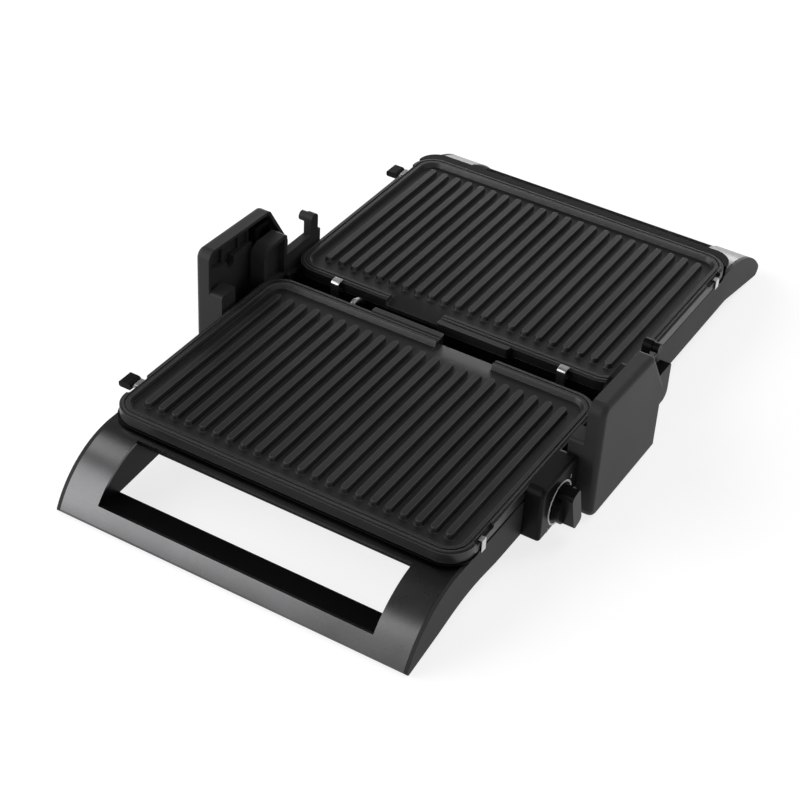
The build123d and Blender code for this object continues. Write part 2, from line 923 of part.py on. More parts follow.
def latch_slot_in_panel(latch_at):
    """Slot of the release latch through the left cheek."""
    return slab(
        -panel_outer - 1,
        -panel_inner + 1,
        latch_at - latch_width / 2 - 0.5,
        latch_at + latch_width / 2 + 0.5,
        latch_level - 0.5,
        latch_level + latch_sheet + 0.5,
    )


# Heating of one half
def heating_element():
    """Tubular element bent in a double loop under the plate."""
    level = plate_underside - seat_clearance - element_radius
    front = front_line + element_front_inset
    rear = -hinge_gap - element_hinge_inset
    half = element_half_width
    inner = element_inner_half_width
    back = rear - 62
    points = [
        (-14, rear + 6, level),
        (-14, back, level),
        (-inner - 14, back, level),
        (-inner - 14, rear, level),
        (-half, rear, level),
        (-half, front, level),
        (half, front, level),
        (half, rear, level),
        (inner + 14, rear, level),
        (inner + 14, back, level),
        (14, back, level),
        (14, rear + 6, level),
    ]
    path = FilletPolyline(*points, radius=element_bend_radius)
    start = Plane(origin=points[0], z_dir=(0, -1, 0))
    return sweep(start * Circle(element_radius), path=path)


def reflector():
    """Thin tray that carries the element and throws the heat up."""
    front = front_line + reflector_front_inset
    rear = -hinge_gap - reflector_hinge_inset
    half = reflector_half_width
    low = reflector_level
    plan = [(-half, front, 12), (half, front, 12), (half, rear, 12), (-half, rear, 12)]
    body = prism_z(plan, low, low + reflector_edge)
    t = reflector_thickness
    inner = [
        (-half + t, front + t, 11),
        (half - t, front + t, 11),
        (half - t, rear - t, 11),
        (-half + t, rear - t, 11),
    ]
    floor = low + 0.4
    return body - prism_z(inner, floor, low + reflector_edge + 1)


# Plate fixings of one half
def side_catch(stand):
    """Fixed sheet catch that stands on the right cheek and holds the edge of a plate."""
    t = catch_sheet
    inner = panel_inner + 0.3
    outer = plate_half + latch_gap
    top = rim_top - catch_notch_drop + hook_gap + t
    lip = plate_half - catch_notch_depth + 0.6
    points = [
        (inner, stand),
        (outer + t, stand),
        (outer + t, top),
        (lip, top),
        (lip, top - t),
        (outer, top - t),
        (outer, stand + t),
        (inner, stand + t),
    ]
    return prism_y(points, catch_y - catch_width / 2, catch_y + catch_width / 2)


def hinge_hook(x, over_rim):
    """Sheet hook on the hinge side that holds the plate by its ear, or domed over its rim."""
    t = hook_sheet
    wall = -hinge_gap
    out = wall + hook_stand_off
    held = rim_top - rim_flange_drop if over_rim else skirt_bottom + plate_ear_height
    reach = hook_rim_reach if over_rim else hook_reach
    dome = hook_dome_radius if over_rim else 0
    under = dome - t if over_rim else 0
    top = held + hook_gap + t
    step = pan_lip_level - 5
    points = [
        (wall, step - hook_foot),
        (wall + t, step - hook_foot),
        (wall + t, step - t),
        (out + t, step - t),
        (out + t, top, dome),
        (out - reach, top),
        (out - reach, top - t),
        (out, top - t, under),
        (out, step),
        (wall, step),
    ]
    return prism_x(points, x - hook_width / 2, x + hook_width / 2)


def plate_clips(stand, over_rim):
    """Hinge hooks and side catch of one plate."""
    return [hinge_hook(-hook_x, over_rim), hinge_hook(hook_x, over_rim), side_catch(stand)]


def latch_bar(latch_at):
    """Sheet latch of a release tab, drawn on the left side."""
    t = latch_sheet
    outer = -(plate_half + latch_gap)
    top = rim_top - catch_notch_drop + hook_gap + latch_lip_height
    lip = -(plate_half - catch_notch_depth + 0.6)
    inside = -(pan_half - pan_wall - latch_shoulder_reach)
    tongue = skirt_bottom + button_rise - t / 2
    points = [
        (inside, latch_level + t),
        (inside, latch_level + t - latch_shoulder_height),
        (inside - t, latch_level + t - latch_shoulder_height),
        (inside - t, latch_level),
        (outer - t, latch_level),
        (outer - t, tongue),
        (outer - button_reach, tongue),
        (outer - button_reach, tongue + t),
        (outer - t, tongue + t),
        (outer - t, top),
        (lip, top),
        (lip, top - latch_lip_height),
        (outer, top - latch_lip_height),
        (outer, latch_level + t),
    ]
    return prism_y(points, latch_at - latch_width / 2, latch_at + latch_width / 2)


def release_button(latch_at):
    """Finger pad pushed over the tongue of the latch."""
    outer = -(plate_half + latch_gap)
    tongue = skirt_bottom + button_rise
    end = outer - button_reach
    x_in = end - 3.0 + button_width
    x_out = end - 3.0
    low = tongue - button_thickness / 2
    high = tongue + button_thickness / 2
    points = [(x_in, low, 1.5), (x_in, high, 3.0), (x_out, high, 2.0), (x_out, low, 2.0)]
    body = prism_y(points, latch_at - button_length / 2, latch_at + button_length / 2)
    pocket = slab(
        end - seat_clearance,
        x_in + 1,
        latch_at - latch_width / 2 - seat_clearance,
        latch_at + latch_width / 2 + seat_clearance,
        tongue - latch_sheet / 2 - seat_clearance,
        tongue + latch_sheet / 2 + seat_clearance,
    )
    return body - pocket


def release_spring(latch_at):
    """Return spring between casing wall and latch shoulder."""
    wall = -(pan_half - pan_wall)
    shoulder = wall + latch_shoulder_reach - latch_sheet
    level = latch_level - latch_shoulder_height / 2 + latch_sheet / 2
    body = rod_x(latch_at, level, spring_radius, wall, shoulder)
    return body - rod_x(latch_at, level, spring_radius - spring_wire, wall - 1, shoulder + 1)


# Hinge towers, drawn on the right side
def tower_profile():
    """Side view of a tower from its front foot round to its rear foot, as (y, z)."""
    return [
        (-tower_front_reach, 0),
        (-tower_front_reach, tower_front_height),
        (tower_break_y, tower_break_height),
        (tower_rear_reach, tower_slant_foot_height),
        (tower_rear_reach, 0),
    ]


def tower_cavity(clearance):
    """Hollow inside a tower, made smaller by a clearance."""
    line = inset(tower_profile(), tower_wall + clearance)
    line[0] = (line[0][0], -1)
    line[-1] = (line[-1][0], -1)
    radius = tower_corner_radius - tower_wall
    line[1] = (*line[1], radius)
    return prism_x(line, tower_inner - 1, cavity_outer)


def tower_cover():
    """Hollow tower open towards the middle, with a wide low step at its front."""
    line = tower_profile()
    line[0] = (*line[0], tower_foot_radius)
    line[1] = (*line[1], tower_corner_radius)
    line[2] = (*line[2], 6.0)
    line[3] = (*line[3], 6.0)
    body = prism_x(line, tower_inner, tower_outer)
    outer_face = body.faces().sort_by(Axis.X)[-1]
    soft = [edge for edge in outer_face.edges() if edge.center().Z > 0.1]
    body = fillet(soft, tower_edge_radius)
    body -= tower_cavity(0)
    shelf_rear = -tower_front_reach + shelf_length
    shelf_line = [
        (-tower_front_reach, 0, tower_foot_radius),
        (-tower_front_reach, shelf_height, 3.0),
        (shelf_rear, shelf_height),
        (shelf_rear, 0),
    ]
    shelf = prism_x(shelf_line, tower_inner - shelf_depth, tower_inner)
    step = prism_x(shelf_line, tower_inner - 1, tower_inner + 4)
    step &= slab(0, far, -tower_front_reach, -tower_front_reach + 3, 0, shelf_height)
    body += shelf
    body += step
    t = tower_wall
    body -= slab(
        tower_inner - shelf_depth + t,
        tower_inner + 1,
        -tower_front_reach + t,
        shelf_rear - t,
        -1,
        shelf_height - t,
    )
    ledge_front = -tower_front_reach + t
    ledge_rear = -(slider_half_width + run_clearance + guide_rail) - 1.5
    top = ledge_height
    outline = [
        (ledge_front, beam_top + 4),
        (ledge_front, top + ledge_front_rise),
        (ledge_front + 6, top + ledge_front_rise),
        (notch_y - 9, top - 2),
        (notch_y + 6, top),
        (ledge_rear, top),
        (ledge_rear, beam_top + 4),
    ]
    ledge_inner = cavity_outer - ledge_depth
    ledge = prism_x(outline, ledge_inner, cavity_outer)
    pocket = slab(
        ledge_inner + ledge_wall,
        cavity_outer + 1,
        ledge_front + 1,
        ledge_rear - ledge_wall,
        beam_top + 2,
        top - notch_drop - 8,
    )
    ledge -= pocket & slab(0, cavity_outer, -300, 300, 0, 300)
    notch_level = top - notch_drop + notch_radius
    ledge -= rod_x(notch_y, notch_level, notch_radius, ledge_inner - 1, cavity_outer)
    ledge -= slab(
        ledge_inner - 1,
        cavity_outer,
        notch_y - notch_radius,
        notch_y + notch_radius,
        notch_level,
        top + 10,
    )
    body += ledge
    for y in (notch_y - 6, notch_y + 18, ledge_rear - 1):
        rib = slab(
            cavity_outer - tower_rib_depth,
            cavity_outer + 0.5,
            y - tower_rib_width / 2,
            y + tower_rib_width / 2,
            top - 3,
            tower_break_height - 0.5,
        )
        body += rib
    return body


def hinge_guide():
    """Slotted guide plate in the tower that lets the hinge float up."""
    half = slider_half_width + run_clearance
    edge = half + guide_rail
    low = hinge_level - slider_half_height - 0.5
    high = hinge_level + float_travel + slider_half_height + 0.5
    body = slab(guide_inner, cavity_outer, -edge, edge, low - guide_bottom_wall, high + guide_top_wall)
    body -= slab(guide_inner - 1, cavity_outer + 1, -half, half, low, high)
    flange = slider_flange_half_width + run_clearance
    body -= slab(guide_outer, cavity_outer + 1, -flange, flange, low, high)
    return body & tower_cavity(0)


def hinge_slider():
    """Sliding bearing block that carries the hinge pin in the guide."""
    w = slider_half_width
    h = slider_half_height
    points = [
        (-w, hinge_level - h, 1.5),
        (w, hinge_level - h, 1.5),
        (w, hinge_level + h, 1.5),
        (-w, hinge_level + h, 1.5),
    ]
    body = prism_x(points, guide_inner + 0.2, guide_outer + run_clearance)
    w = slider_flange_half_width
    h = slider_flange_half_height
    points = [
        (-w, hinge_level - h, 1.5),
        (w, hinge_level - h, 1.5),
        (w, hinge_level + h, 1.5),
        (-w, hinge_level + h, 1.5),
    ]
    start = guide_outer + run_clearance
    body += prism_x(points, start, start + slider_flange_thickness)
    return body - rod_x(0, hinge_level, pin_radius + pin_clearance, guide_inner - 2, cavity_outer)


def pin_start():
    """Blind end of the pin's bore behind the recess of the arm block."""
    return block_inner + arm_block_recess + pin_blind_wall


def hinge_pin():
    """Hinge pin from the arm block through the slider."""
    return rod_x(0, hinge_level, pin_radius, pin_start(), cavity_outer - 0.5)


# Lid arms, drawn on the right side in the open position
def lid_arm():
    """Arm from the hinge pin along the lid, with its upright post and boss."""
    block = prism_x(
        [
            (-arm_block_front, arm_block_bottom),
            (-arm_block_front, arm_block_top, arm_block_round),
            (arm_block_rear, arm_block_top, 4.0),
            (arm_block_rear, arm_block_bottom),
        ],
        block_inner,
        block_outer,
    )
    w = arm_block_wall
    recess = prism_x(
        [
            (-arm_block_front + w, arm_block_bottom + w),
            (-arm_block_front + w, arm_block_top - w, arm_block_round - w),
            (arm_block_rear - w, arm_block_top - w),
            (arm_block_rear - w, arm_block_bottom + w),
        ],
        block_inner - 1,
        block_inner + arm_block_recess,
    )
    block -= recess
    bar_outer = arm_inner + arm_bar_width
    bar_top = arm_bar_level + arm_bar_height
    bar = slab(arm_inner, bar_outer, arm_block_rear - 1, arm_bar_reach, arm_bar_level, bar_top)
    round_radius = arm_post_width / 2
    post = prism_x(
        [
            (arm_post_front, bar_top - 4),
            (arm_post_front, arm_post_top, round_radius - 0.01),
            (arm_post_front + arm_post_width, arm_post_top, round_radius - 0.01),
            (arm_post_front + arm_post_width, bar_top - 4),
        ],
        arm_inner,
        bar_outer,
    )
    post_y = arm_post_front + round_radius
    boss = rod_x(
        post_y, arm_post_top - round_radius, arm_boss_radius, bar_outer - 1, bar_outer + arm_boss_length
    )
    flange_outer = panel_outer + arm_flange_thickness
    flange = slab(
        panel_outer, flange_outer, arm_block_rear - 1, arm_flange_reach, arm_flange_bottom, arm_flange_top
    )
    web = slab(
        arm_inner, flange_outer, arm_block_rear - 1, arm_bar_reach, arm_flange_top - 1, arm_bar_level + 1
    )
    body = block + bar + post + boss + flange + web
    return body - rod_x(0, hinge_level, pin_radius + pin_clearance / 2, pin_start(), block_outer + 2)


# Chassis
def rear_chassis():
    """Low beam under the hinge with a bracket and a rear leg on each side."""
    half = cavity_outer - 0.5
    body = slab(-half, half, -beam_front, beam_rear, beam_bottom, beam_top)
    for side in (-1, 1):
        boss = rod_z(
            side * beam_boss_x, -beam_boss_y, beam_boss_radius, beam_top - 1, pan_floor_level - cover_thickness
        )
        body += boss
    bracket = prism_x(
        [
            (-bracket_front, beam_bottom),
            (bracket_rear - bracket_leg_length, beam_bottom),
            (bracket_rear - bracket_leg_length, foot_pad_height),
            (bracket_rear, foot_pad_height, bracket_corner_radius),
            (bracket_rear, bracket_rear_height, 3.0),
            (bracket_step_y, bracket_rear_height),
            (bracket_step_y - 8, bracket_front_height),
            (-bracket_front, bracket_front_height),
        ],
        bracket_inner,
        bracket_outer,
    )
    corner = hypot(arm_block_front, max(arm_block_top - hinge_level, hinge_level - arm_block_bottom))
    sweep_radius = corner + hinge_sweep_clearance
    bracket -= rod_x(0, hinge_level, sweep_radius, bracket_inner - 1, bracket_outer + 1)
    body += bracket
    body += mirror_left(bracket)
    return body


def rubber_feet():
    """Pads under the frame, under the beam and under the rear legs."""
    feet = []
    pad_x = (window_half + panel_inner) / 2
    pad_y = base_half().front + front_pad_inset
    long = front_pad_half_length
    deep = front_pad_half_depth
    rear_y = bracket_rear - bracket_leg_length + pad_inset
    rear_x = (bracket_inner + bracket_outer) / 2
    for side in (-1, 1):
        feet.append(
            slab(side * pad_x - long, side * pad_x + long, pad_y - deep, pad_y + deep, 0, foot_pad_height)
        )
        feet.append(rod_z(side * beam_foot_x, -beam_foot_y, beam_foot_radius, 0, beam_bottom))
        feet.append(rod_z(side * rear_x, rear_y, pad_radius, 0, foot_pad_height))
    return feet


# Thermostat box and knob
def control_box():
    """Box on the right cheek with a face for the knob and the pale ring."""
    y1 = -tower_front_reach - box_tower_gap
    y0 = y1 - box_length
    z1 = box_bottom + box_height
    r = box_corner_radius
    points = [(y0, box_bottom, 3.0), (y1, box_bottom, 3.0), (y1, z1, r), (y0, z1, r)]
    body = prism_x(points, panel_outer, box_outer)
    outer_face = body.faces().sort_by(Axis.X)[-1]
    soft = [edge for edge in outer_face.edges() if edge.center().Z > box_bottom + 4]
    body = fillet(soft, box_edge_radius)
    gap_x = plate_half + box_plate_gap
    step = slab(panel_outer - 1, gap_x, y0 - 1, y1 + 1, frame_top + 0.3, z1 + 1)
    w = box_wall
    body -= slab(panel_outer - 1, box_outer - w, y0 + w, y1 - w, box_bottom + w, frame_top - w)
    body -= step
    body -= slab(gap_x + w, box_outer - w, y0 + w, y1 - w, frame_top - w - 1, z1 - w)
    face = box_outer
    ring = rod_x(knob_y, knob_level, ring_outer_radius, face - ring_depth, face + 1)
    ring -= rod_x(knob_y, knob_level, ring_outer_radius - ring_width, face - ring_depth - 1, face + 2)
    body -= ring
    for y, z in ring_pins():
        body -= rod_x(y, z, ring_pin_radius + 0.05, face - w - 1, face)
    body -= rod_x(knob_y, knob_level, shaft_radius + shaft_hole_clearance, face - w - 1, face + 1)
    for y, z in ((knob_y + mark_y, knob_level + mark_z), (knob_y - mark_y, knob_level - mark_z - 2.0)):
        body -= slab(
            face - mark_depth, face + 1, y - mark_width / 2, y + mark_width / 2, z - mark_length / 2,
            z + mark_length / 2,
        )
    return body


def ring_pins():
    """Places of the light pins behind the ring."""
    radius = ring_outer_radius - ring_width / 2
    places = []
    for index in range(ring_pin_count):
        turn = 2 * pi * index / ring_pin_count + 0.5
        places.append((knob_y + radius * cos(turn), knob_level + radius * sin(turn)))
    return places


def indicator_ring():
    """Pale light ring round the knob, with pins that reach the lamp board."""
    face = box_outer
    outer = rod_x(knob_y, knob_level, ring_outer_radius, face - ring_depth, face + ring_proud)
    body = outer - rod_x(
        knob_y, knob_level, ring_outer_radius - ring_width, face - ring_depth - 1, face + 1
    )
    for y, z in ring_pins():
        body += rod_x(y, z, ring_pin_radius, face - box_wall - 0.6, face - ring_depth + 0.2)
    return body


def indicator_board():
    """Lamp board behind the face of the box."""
    outer = box_outer - box_wall - 0.7
    body = rod_x(knob_y, knob_level, board_radius, outer - board_thickness, outer)
    body &= slab(0, 300, -300, 0, box_bottom + box_wall + 0.5, knob_level + board_radius)
    return body - rod_x(knob_y, knob_level, shaft_radius + 2, outer - 5, outer + 5)


def thermostat():
    """Thermostat on the inside of the casing wall."""
    end = pan_half - pan_wall - seat_clearance
    body = rod_x(knob_y, knob_level, thermostat_radius, end - thermostat_length, end)
    body += slab(end - 1.5, end, knob_y - 13, knob_y + 13, knob_level - 6, knob_level + 6)
    return body - rod_x(knob_y, knob_level, shaft_radius + shaft_clearance, end - 9, end + 1)


def thermostat_shaft():
    """Shaft from the thermostat to the knob."""
    start = pan_half - pan_wall - 8.5
    return rod_x(knob_y, knob_level, shaft_radius, start, start + shaft_length)


def control_knob():
    """Round knob with a raised grip bar."""
    start = box_outer + ring_proud + knob_gap
    disc_end = start + knob_disc_height
    body = rod_x(knob_y, knob_level, knob_disc_radius, start, disc_end)
    half_l = knob_bar_length / 2
    half_w = knob_bar_width / 2
    r = knob_bar_round
    outline = [(-half_w, -half_l, r), (half_w, -half_l, r), (half_w, half_l, r), (-half_w, half_l, r)]
    bar = prism_x(outline, start + 1.5, disc_end + knob_bar_height)
    bar = Pos(0, knob_y, knob_level) * Rot(knob_tilt, 0, 0) * bar
    body += bar
    shaft_end = pan_half - pan_wall - 8.5 + shaft_length
    bore = shaft_radius + 0.02
    return body - rod_x(knob_y, knob_level, bore, start - 1, shaft_end + seat_clearance)


# Wiring
def wire_conduit():
    """Bent metal conduit over the hinge gap."""
    level = pan_lip_level - 1.0
    points = [
        (conduit_x, -hinge_gap + 1.8, level),
        (conduit_x, -4.5, level + 6.0),
        (conduit_x, 4.5, level + 3.0),
        (conduit_x, hinge_gap - 2.2, level - 4.5),
    ]
    path = FilletPolyline(*points, radius=6.0)
    start = Plane(origin=path @ 0, z_dir=path % 0)
    return sweep(start * Circle(conduit_radius), path=path)


def gland_x():
    """Middle of the hollow in the right tower."""
    return (tower_inner + cavity_outer) / 2


def cord_gland():
    """Bush in the rear wall of the right tower where the mains lead enters."""
    wall_in = tower_rear_reach - tower_wall
    x = gland_x()
    body = rod_y(x, gland_level, gland_radius - 0.6, wall_in - 2, tower_rear_reach + gland_proud)
    body += rod_y(x, gland_level, gland_radius, wall_in - 2, wall_in)
    body += rod_y(x, gland_level, gland_radius, tower_rear_reach, tower_rear_reach + gland_flange)
    return body - rod_y(x, gland_level, gland_bore, wall_in - 3, tower_rear_reach + gland_proud + 1)


def terminal_block():
    """Terminal block on the chassis beam behind the gland."""
    x = gland_x()
    y0 = tower_rear_reach - tower_wall - 6 - terminal_length
    body = slab(
        x - terminal_width / 2, x + terminal_width / 2, y0, y0 + terminal_length, beam_top,
        beam_top + terminal_height,
    )
    for index in range(terminal_holes):
        y = y0 + terminal_length * (index + 0.5) / terminal_holes
        body -= rod_z(x, y, 1.6, beam_top + 4, beam_top + terminal_height + 1)
    return body


def build():
    """All nodes of the grill, by name."""
    drop = Pos(0, 0, -lid_drop)
    plate = ribbed_plate()
    pan = casing(latch_y)
    shaft_y = knob_y
    bore = shaft_radius + shaft_hole_clearance
    base_pan = pan - rod_x(shaft_y, knob_level, bore, pan_half - pan_wall - 1, pan_half + 1)
    base = base_half()
    lid = lid_half()
    panel = side_panel(base)
    panel_right = panel - rod_x(shaft_y, knob_level, bore, panel_inner - 1, panel_outer + 1)
    panel_left = mirror_left(panel) - latch_slot_in_panel(latch_y)
    tower = tower_cover()
    gland_hole = rod_y(
        gland_x(), gland_level, gland_radius - 0.5, tower_rear_reach - tower_wall - 1, tower_rear_reach + 1
    )
    guide = hinge_guide()
    slider = hinge_slider()
    pin = hinge_pin()
    arm = lid_arm()
    lid_clips = plate_clips(lid.top + lid_drop, True)
    element = heating_element()
    tray = reflector()

    nodes = {
        "base_housing": base_pan,
        "base_bottom_cover": bottom_cover(2.0),
        "base_frame_shell": frame_shell(base),
        "base_frame_liner": frame_liner(base),
        "base_side_panel_left": panel_left,
        "base_side_panel_right": panel_right,
        "lower_plate": plate,
        "lower_heating_element": element,
        "lower_reflector": tray,
        "lower_plate_clips": group(plate_clips(base.top, False)),
        "lower_release_latch": latch_bar(latch_y),
        "lower_release_button": release_button(latch_y),
        "lower_release_spring": release_spring(latch_y),
        "tower_cover_right": tower - gland_hole,
        "tower_cover_left": mirror_left(tower),
        "hinge_guide_right": guide,
        "hinge_guide_left": mirror_left(guide),
        "hinge_slider_right": slider,
        "hinge_slider_left": mirror_left(slider),
        "rear_chassis": rear_chassis(),
        "rubber_feet": group(rubber_feet()),
        "base_screws": group(cover_screws()),
        "control_box": control_box(),
        "indicator_ring": indicator_ring(),
        "indicator_board": indicator_board(),
        "thermostat": thermostat(),
        "thermostat_shaft": thermostat_shaft(),
        "control_knob": control_knob(),
        "terminal_block": terminal_block(),
        "cord_gland": cord_gland(),
        "wire_conduit": wire_conduit(),
        "upper_plate": drop * Rot(0, 0, 180) * plate,
    }
    lid_panel = lid_side(side_panel(lid))
    lid_slot = drop * lid_side(latch_slot_in_panel(lid_latch_y))
    nodes["lid_housing"] = drop * lid_side(casing(lid_latch_y) + lid_brim())
    nodes["lid_cover"] = drop * lid_side(bottom_cover(lid_cover_hinge_margin))
    nodes["lid_handle_shell"] = lid_side(frame_shell(lid))
    nodes["lid_handle_liner"] = lid_side(frame_liner(lid))
    nodes["lid_side_panel_right"] = lid_panel
    nodes["lid_side_panel_left"] = mirror_left(lid_panel) - lid_slot
    nodes["upper_heating_element"] = drop * lid_side(element)
    nodes["upper_reflector"] = drop * lid_side(tray)
    nodes["upper_plate_clips"] = group([drop * lid_side(clip) for clip in lid_clips])
    nodes["upper_release_latch"] = drop * lid_side(latch_bar(lid_latch_y))
    nodes["upper_release_button"] = drop * lid_side(release_button(lid_latch_y))
    nodes["upper_release_spring"] = drop * lid_side(release_spring(lid_latch_y))
    nodes["lid_arm_right"] = arm
    nodes["lid_arm_left"] = mirror_left(arm)
    nodes["hinge_pin_right"] = pin
    nodes["hinge_pin_left"] = mirror_left(pin)
    nodes["lid_screws"] = group([drop * lid_side(screw) for screw in cover_screws()])
    return centred(nodes)


def centred(nodes):
    """The same nodes with the middle of their length over the origin."""
    front = nodes["base_frame_shell"].bounding_box().min.Y
    end = nodes["lid_side_panel_right"].bounding_box().max.Y
    move = Pos(0, -(front + end) / 2, 0)
    moved = {}
    for name, shape in nodes.items():
        solids = [move * solid for solid in shape.solids()]
        moved[name] = group(solids) if len(solids) > 1 else solids[0]
    return moved


def main():
    """Build every node and write one STEP file for each."""
    os.makedirs("parts", exist_ok=True)
    for name, shape in build().items():
        export_step(shape, "parts/" + name + ".step")


main()
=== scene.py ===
import json
from math import cos, pi, radians, sin

import bmesh
import bpy
from mathutils import Matrix, Vector


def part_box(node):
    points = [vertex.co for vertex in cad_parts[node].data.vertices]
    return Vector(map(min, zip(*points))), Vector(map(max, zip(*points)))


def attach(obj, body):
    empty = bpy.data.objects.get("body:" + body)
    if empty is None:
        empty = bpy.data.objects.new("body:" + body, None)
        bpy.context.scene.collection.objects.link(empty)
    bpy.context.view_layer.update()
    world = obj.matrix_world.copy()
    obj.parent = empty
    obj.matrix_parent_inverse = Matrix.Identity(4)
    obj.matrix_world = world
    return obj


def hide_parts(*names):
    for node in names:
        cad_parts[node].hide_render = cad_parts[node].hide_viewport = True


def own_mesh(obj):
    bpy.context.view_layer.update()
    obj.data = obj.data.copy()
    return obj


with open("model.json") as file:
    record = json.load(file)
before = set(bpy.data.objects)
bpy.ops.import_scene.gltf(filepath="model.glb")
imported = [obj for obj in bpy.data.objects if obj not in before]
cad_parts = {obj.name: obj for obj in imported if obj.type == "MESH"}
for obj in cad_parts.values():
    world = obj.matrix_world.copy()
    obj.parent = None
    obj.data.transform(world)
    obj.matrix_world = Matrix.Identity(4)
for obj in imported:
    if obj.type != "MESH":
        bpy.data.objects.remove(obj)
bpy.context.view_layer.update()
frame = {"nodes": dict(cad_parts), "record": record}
nodes = frame["nodes"]
scene = bpy.context.scene


# Camera, solved from the picture, in metres and degrees
CAMERA_PLACE = Vector((0.6168, -1.17383, 0.9898))
CAMERA_AZIMUTH = 29.178
CAMERA_ELEVATION = 37.385
CAMERA_ROLL = -3.544
CAMERA_LENS = 86.96
CAMERA_SENSOR = 36.0
CAMERA_NEAR = 0.05
CAMERA_FAR = 60.0

# Bright surround that fades into a dark ceiling with the height of the direction
SURROUND_LEVEL = 0.95
CEILING_LEVEL = 0.06
SURROUND_FULL = 0.22
SURROUND_GONE = 0.75

# Floor, as the camera sees it and as it lights the object
FLOOR_HALF = 12.0
FLOOR_GLOW = 0.78
FLOOR_SHADED = 0.30
FLOOR_PLAIN = 0.75

# Lamps: name, place, point looked at, size and power
LAMPS = (
    ("left_box", (-2.15, -1.9, 1.35), (-0.1, -0.1, 0.0), (2.8, 2.7), 80),
    ("left_top", (-2.1, -0.15, 2.25), (0.0, 0.0, 0.0), (1.1, 1.6), 17),
    ("top_box", (0.9, 1.2, 2.7), (0.0, 0.0, 0.0), (1.6, 1.6), 24),
    ("back_strip", (-0.8, 3.0, 0.45), (0.0, 0.0, 0.05), (2.6, 0.7), 24),
)

# Softened edges of the solids
WELD_GAP = 0.00001
EDGE_SOFTNESS = 0.0005
EDGE_SEGMENTS = 2
EDGE_ANGLE = 35.0

# Noises and ranges that all the surfaces share
SLOW_SCALE = 14.0
SLOW_DETAIL = 4.0
FINE_DETAIL = 2.0
TONE_LOW = 0.35
TONE_HIGH = 0.65
RUBBED_SCALE = 60.0
RUBBED_DETAIL = 8.0
RUBBED_ROUGHNESS = 0.7
RUBBED_FROM = 0.62
RUBBED_TO = 0.78
# Pale colour of both the rubbed wear and the painted edge highlights
WEAR_AND_HIGHLIGHT_GAIN = 1.6
WEAR_AND_HIGHLIGHT_LIFT = 0.05
GLOSS_SPREAD = 0.08
GLOSS_LEAST = 0.05

# Painted highlights on edges: reach of the rounded normal, and the cosines between which the
# painted highlight grows
PAINTED_HIGHLIGHT_REACH = 0.0012
PAINTED_HIGHLIGHT_SAMPLES = 4
PAINTED_HIGHLIGHT_START = 0.99
PAINTED_HIGHLIGHT_FULL = 0.85

# Pale marks beside the knob
MARK_ACROSS = 0.0165
MARK_UP = 0.0150
MARK_DOWN = 0.0170
MARK_LENGTH = 0.0048
MARK_WIDTH = 0.0011
MARK_BREAK = 0.0009
MARK_THICK = 0.0004
MARK_SUNK = 0.0003
MARK_ROUND = 0.0002
MARK_ROUND_SEGMENTS = 2

# Coils of the release springs
SPRING_WIRE = 0.0009
SPRING_COILS = 7
SPRING_STEPS = 20
SPRING_SIDES = 8


def put(name, data):
    """New object in the scene."""
    thing = bpy.data.objects.new(name, data)
    scene.collection.objects.link(thing)
    return thing


def grey(level):
    """Opaque grey of one level."""
    return (level, level, level, 1)


def make_camera():
    """Camera at the viewing angle of the picture."""
    azimuth = radians(CAMERA_AZIMUTH)
    elevation = radians(CAMERA_ELEVATION)
    roll = radians(CAMERA_ROLL)
    across = cos(elevation)
    back = Vector((sin(azimuth) * across, -cos(azimuth) * across, sin(elevation)))
    right = (-back).cross(Vector((0, 0, 1))).normalized()
    down = (-back).cross(right)
    image_right = right * cos(roll) + down * sin(roll)
    image_down = -right * sin(roll) + down * cos(roll)
    turn = Matrix((image_right, -image_down, back)).transposed().to_4x4()
    data = bpy.data.cameras.new("camera")
    data.sensor_width = CAMERA_SENSOR
    data.lens = CAMERA_LENS
    data.clip_start = CAMERA_NEAR
    data.clip_end = CAMERA_FAR
    camera = put("camera", data)
    camera.matrix_world = Matrix.Translation(CAMERA_PLACE) @ turn
    scene.camera = camera


def area_light(name, place, target, size, power):
    """Soft box lamp that looks at a point."""
    data = bpy.data.lights.new(name, "AREA")
    data.shape = "RECTANGLE"
    data.size, data.size_y = size
    data.energy = power
    way = Vector(target) - Vector(place)
    turn = way.to_track_quat("-Z", "Y").to_matrix().to_4x4()
    put(name, data).matrix_world = Matrix.Translation(place) @ turn


def seen_directly(tree):
    """One where a surface is seen straight, in a mirror or through glass, nought for the rest."""
    path = tree.nodes.new("ShaderNodeLightPath")
    seen = path.outputs["Is Camera Ray"]
    for ray in ("Is Glossy Ray", "Is Transmission Ray"):
        either = tree.nodes.new("ShaderNodeMath")
        either.operation = "MAXIMUM"
        tree.links.new(seen, either.inputs[0])
        tree.links.new(path.outputs[ray], either.inputs[1])
        seen = either.outputs[0]
    return seen


